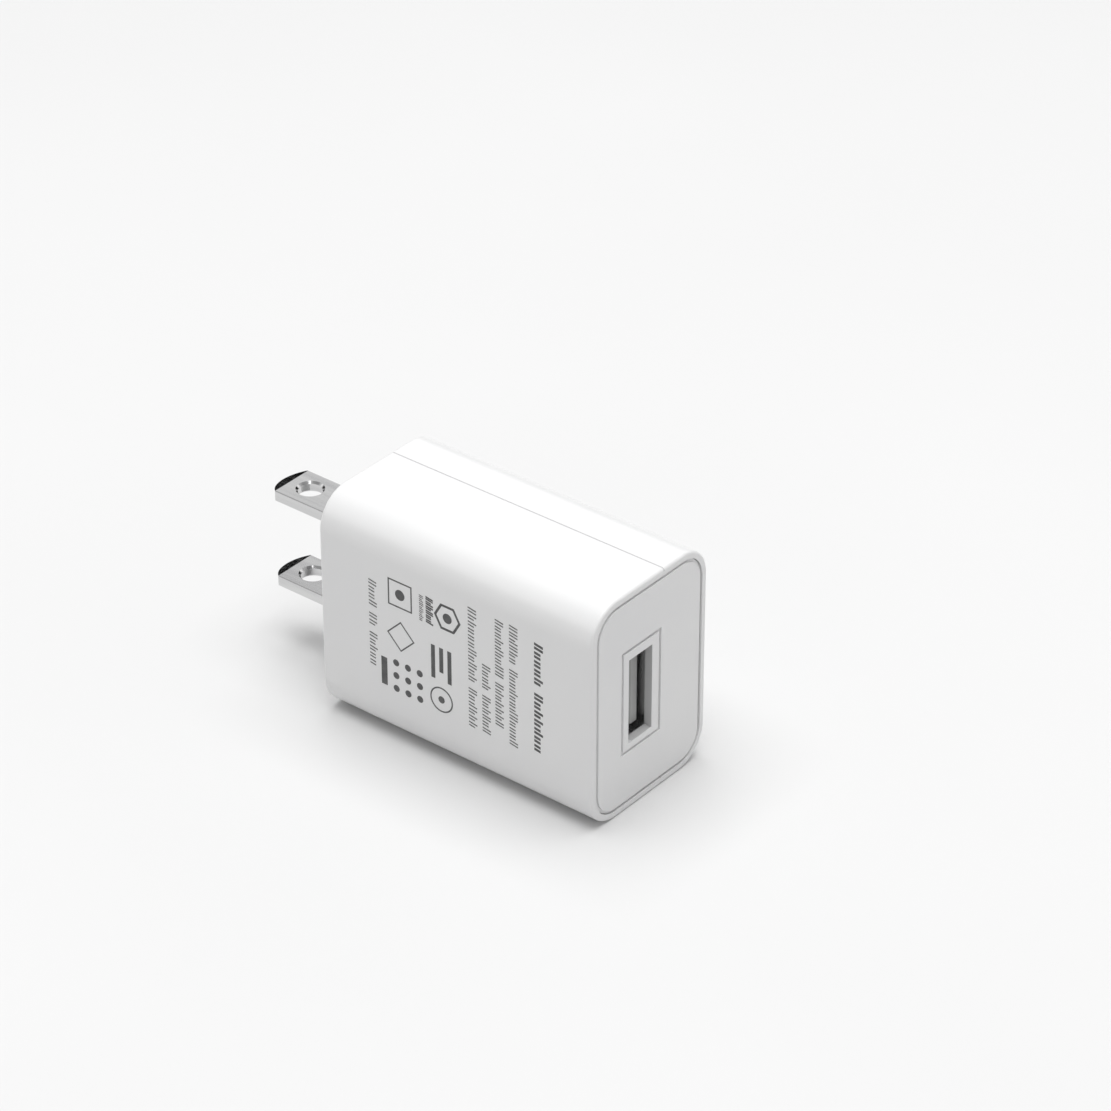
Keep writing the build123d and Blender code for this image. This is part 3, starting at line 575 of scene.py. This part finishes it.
board_low, board_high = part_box("main_board")
board_skin = surface(
    "board_skin", (0.5, 0.42, 0.25), (0.58, 0.5, 0.32),
    cloud=400, grain=2600, gloss=(0.35, 0.5), relief=0.006,
)
MASK_DEPTH = 0.05 * MM
MASK_TINT = (0.03, 0.3, 0.16)
mask_low = Vector((board_high.x - MASK_DEPTH, board_low.y - MM, board_low.z - MM))
mask_high = board_high + Vector((MM, MM, MM))
tint_inside(board_skin, mask_low, mask_high, MASK_TINT)
dress(board_skin, "main_board")
solder = surface(
    "solder", (0.6, 0.6, 0.62), (0.8, 0.8, 0.8),
    cloud=1600, grain=3200, gloss=(0.12, 0.3), relief=0.02, Metallic=1.0,
)
dress(solder, "solder_joints")

# ---- Insulation sheet ----
# A plain rectangle of amber polyester film that lies on the inside of the shallow shell. It keeps the
# copper side of the board away from the wall.

film_amber = surface(
    "film_amber", (0.55, 0.33, 0.06), (0.62, 0.4, 0.1),
    cloud=200, grain=1300, gloss=(0.14, 0.26), relief=0.006,
)
dress(film_amber, "insulation_sheet")

# ---- Printing on the label side ----
# One pass of grey pad-printing ink. Every mark is a plain shape: rows of slanted ticks stand where a
# rating plate has its lines, and simple outlines stand where it has its symbols.

PRINT_BED = 0.03 * MM
PRINT_FILM = 0.015 * MM
SLANT = 0.16
WORD_GAP = 0.8
TICK_SHIFTS = (0.1, 0.55)
SHORT_TICK = 0.72
TALL_SHARE = 0.3
face_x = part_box("label_side_shell")[0].x
print_ink = surface(
    "print_ink", (0.07, 0.07, 0.072), (0.1, 0.1, 0.1),
    cloud=900, grain=3800, gloss=(0.45, 0.65), relief=0.004,
)


def ink_shape(bm, outline, hole=None):
    """One closed plate of ink from points (y, z) in millimetres, with a matching loop for its hole."""
    front = [bm.verts.new((face_x - PRINT_FILM, y * MM, z * MM)) for y, z in outline]
    rear = [bm.verts.new((face_x + PRINT_BED, y * MM, z * MM)) for y, z in outline]
    loops = [(front, rear)]
    if hole:
        front_hole = [bm.verts.new((face_x - PRINT_FILM, y * MM, z * MM)) for y, z in hole]
        rear_hole = [bm.verts.new((face_x + PRINT_BED, y * MM, z * MM)) for y, z in hole]
        loops += [(front_hole, rear_hole), (front, front_hole), (rear, rear_hole)]
    else:
        bm.faces.new(front)
        bm.faces.new(rear)
    for first, second in loops:
        for index in range(len(first)):
            after = (index + 1) % len(first)
            bm.faces.new((first[index], first[after], second[after], second[index]))


def tick_row(bm, base_y, tall, top_z, bottom_z, stroke, words, rng):
    """A row of slanted ticks down the face, two to a place on one base line, with gaps between words."""
    step = (top_z - bottom_z) / (sum(words) + WORD_GAP * (len(words) - 1))
    z = top_z
    for count in words:
        for place in range(count):
            for shift in TICK_SHIFTS:
                height = tall if place == 0 or rng.random() < TALL_SHARE else tall * SHORT_TICK
                start = z - shift * step
                lean = SLANT * height
                near, far = start, start - stroke
                tip_y = base_y - height
                ink_shape(bm, [(base_y, near), (tip_y, near - lean), (tip_y, far - lean), (base_y, far)])
            z -= step
        z -= WORD_GAP * step


def polygon(centre, radius, sides, turn=0.0):
    """The corners of a regular polygon; many sides make a circle."""
    angles = [turn + 2 * math.pi * side / sides for side in range(sides)]
    return [(centre[0] + radius * math.cos(a), centre[1] + radius * math.sin(a)) for a in angles]


# A row is its base line in Y, its height, its top and bottom in Z and its stroke, all in millimetres,
# then the places in each word.
HEADING_ROW = (-20.65, 1.35, 24.5, 8.6, 0.36, (5, 7))
rng = random.Random(11)
bm = bmesh.new()
tick_row(bm, *HEADING_ROW, rng)
new_piece("print_heading", bm, print_ink, smooth=False)

bm = bmesh.new()
RATING_ROWS = [
    (-16.8, 1.3, 25.4, 7.8, 0.17, (6, 12)),
    (-14.6, 1.3, 25.3, 9.75, 0.17, (9, 7)),
    (-12.55, 1.3, 18.0, 7.85, 0.17, (4, 6)),
    (-10.4, 1.3, 25.35, 7.75, 0.17, (11, 6)),
    (-3.75, 1.15, 24.1, 20.2, 0.22, (6,)),
    (-2.7, 0.65, 23.9, 20.05, 0.11, (7,)),
    (5.4, 1.25, 23.0, 10.25, 0.17, (4, 2, 5)),
]
for row in RATING_ROWS:
    tick_row(bm, *row, rng)
new_piece("print_ratings", bm, print_ink, smooth=False)

bm = bmesh.new()
CIRCLE = 48
HEX_CENTRE = (-7.15, 22.1)
HEX_R = 2.1
HEX_HOLE_R = 1.72
HEX_DOT_R = 0.7
ink_shape(bm, polygon(HEX_CENTRE, HEX_R, 6), polygon(HEX_CENTRE, HEX_HOLE_R, 6))
ink_shape(bm, polygon(HEX_CENTRE, HEX_DOT_R, CIRCLE))
BAR_TOP = 17.4
BAR_Y = -7.7
BAR_STEP = 1.3
BAR_WIDE = 0.62
BAR_LENGTHS = (4.8, 3.6, 4.8)
for row, length in enumerate(BAR_LENGTHS):
    y = BAR_Y + row * BAR_STEP
    far_y = y + BAR_WIDE
    foot = BAR_TOP - length
    ink_shape(bm, [(y, BAR_TOP), (far_y, BAR_TOP), (far_y, foot), (y, foot)])
RING_CENTRE = (-6.05, 9.8)
RING_R = 1.8
RING_HOLE_R = 1.6
RING_DOT_R = 0.5
ink_shape(bm, polygon(RING_CENTRE, RING_R, CIRCLE), polygon(RING_CENTRE, RING_HOLE_R, CIRCLE))
ink_shape(bm, polygon(RING_CENTRE, RING_DOT_R, CIRCLE))
SQUARE_CENTRE = (0.37, 22.4)
SQUARE_R = 2.7
SQUARE_HOLE_R = 2.42
SQUARE_DOT_R = 0.75
CORNER_TURN = math.pi / 4
square = polygon(SQUARE_CENTRE, SQUARE_R, 4, CORNER_TURN)
ink_shape(bm, square, polygon(SQUARE_CENTRE, SQUARE_HOLE_R, 4, CORNER_TURN))
ink_shape(bm, polygon(SQUARE_CENTRE, SQUARE_DOT_R, CIRCLE))
DIAMOND_CENTRE = (0.35, 16.35)
DIAMOND_R = 2.2
DIAMOND_HOLE_R = 1.95
ink_shape(bm, polygon(DIAMOND_CENTRE, DIAMOND_R, 4), polygon(DIAMOND_CENTRE, DIAMOND_HOLE_R, 4))
DOT_Y = -2.6
DOT_Z = 12.2
DOT_PITCH = 1.9
DOT_R = 0.48
DOTS_EACH_WAY = 3
for row in range(DOTS_EACH_WAY):
    for column in range(DOTS_EACH_WAY):
        dot = (DOT_Y + column * DOT_PITCH, DOT_Z - row * DOT_PITCH)
        ink_shape(bm, polygon(dot, DOT_R, CIRCLE))
LONE_BAR = [(2.65, 12.3), (3.6, 12.3), (3.6, 8.25), (2.65, 8.25)]
ink_shape(bm, LONE_BAR)
new_piece("print_symbols", bm, print_ink, smooth=False)

# ---- Table, light and camera ----
# The charger stands on one narrow side on a white sheet. A large soft box hangs straight overhead, and
# the pale room lights the rest.

SHEET_HALF = 4.0
sheet_mesh = bpy.data.meshes.new("sheet")
SHEET_CORNERS = [(-1, -1), (1, -1), (1, 1), (-1, 1)]
corners = [(x * SHEET_HALF, y * SHEET_HALF, 0) for x, y in SHEET_CORNERS]
sheet_mesh.from_pydata(corners, [], [(0, 1, 2, 3)])
sheet_white = surface(
    "sheet_white", (0.705,) * 3, (0.715,) * 3,
    cloud=8, grain=900, gloss=(0.85, 0.95), relief=0.001,
)
sheet_white.node_tree.nodes["Principled BSDF"].inputs["Specular IOR Level"].default_value = 0.0
sheet_mesh.materials.append(sheet_white)
table = bpy.data.objects.new("table", sheet_mesh)
bpy.context.scene.collection.objects.link(table)
table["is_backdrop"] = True

world = bpy.data.worlds.new("studio")
world.use_nodes = True
bpy.context.scene.world = world
sky = world.node_tree
direction = sky.nodes.new("ShaderNodeTexCoord")
height = sky.nodes.new("ShaderNodeSeparateXYZ")
brightness = sky.nodes.new("ShaderNodeValToRGB")
sky.links.new(direction.outputs["Generated"], height.inputs["Vector"])
sky.links.new(height.outputs["Z"], brightness.inputs["Fac"])
sky.links.new(brightness.outputs["Color"], sky.nodes["Background"].inputs["Color"])
SKY = [(0.3, 0.0), (0.42, 1.5), (0.55, 0.7), (0.72, 0.33), (1.0, 0.5)]
stops = brightness.color_ramp.elements
while len(stops) < len(SKY):
    stops.new(0.5)
for stop, (up, level) in zip(stops, SKY):
    stop.position = up
    stop.color = (level, level, level, 1)

BOX_SIDE = 0.9
BOX_HEIGHT = 1.0
lamp = bpy.data.lights.new("soft_box", "AREA")
lamp.shape = "RECTANGLE"
lamp.size = BOX_SIDE
lamp.size_y = BOX_SIDE
lamp.energy = 10.3
soft_box = bpy.data.objects.new("soft_box", lamp)
bpy.context.scene.collection.objects.link(soft_box)
soft_box.location = (0.0, 0.0, BOX_HEIGHT)
soft_box.rotation_euler = (-soft_box.location).to_track_quat("-Z", "Y").to_euler()

azimuth = math.radians(-51.13)
elevation = math.radians(32.56)
aim = Vector((7.93, -8.5, 22.2)) * MM
CAMERA_DISTANCE = 555.1
level = math.cos(elevation)
away = Vector((math.sin(azimuth) * level, -math.cos(azimuth) * level, math.sin(elevation)))
lens = bpy.data.cameras.new("camera")
lens.sensor_width = 36.0
lens.lens = 146.0
lens.clip_start = 0.01
camera = bpy.data.objects.new("camera", lens)
bpy.context.scene.collection.objects.link(camera)
camera.location = aim + away * CAMERA_DISTANCE * MM
camera.rotation_euler = (-away).to_track_quat("-Z", "Y").to_euler()
bpy.context.scene.camera = camera
bpy.context.scene.view_settings.view_transform = "Standard"

low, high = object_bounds()
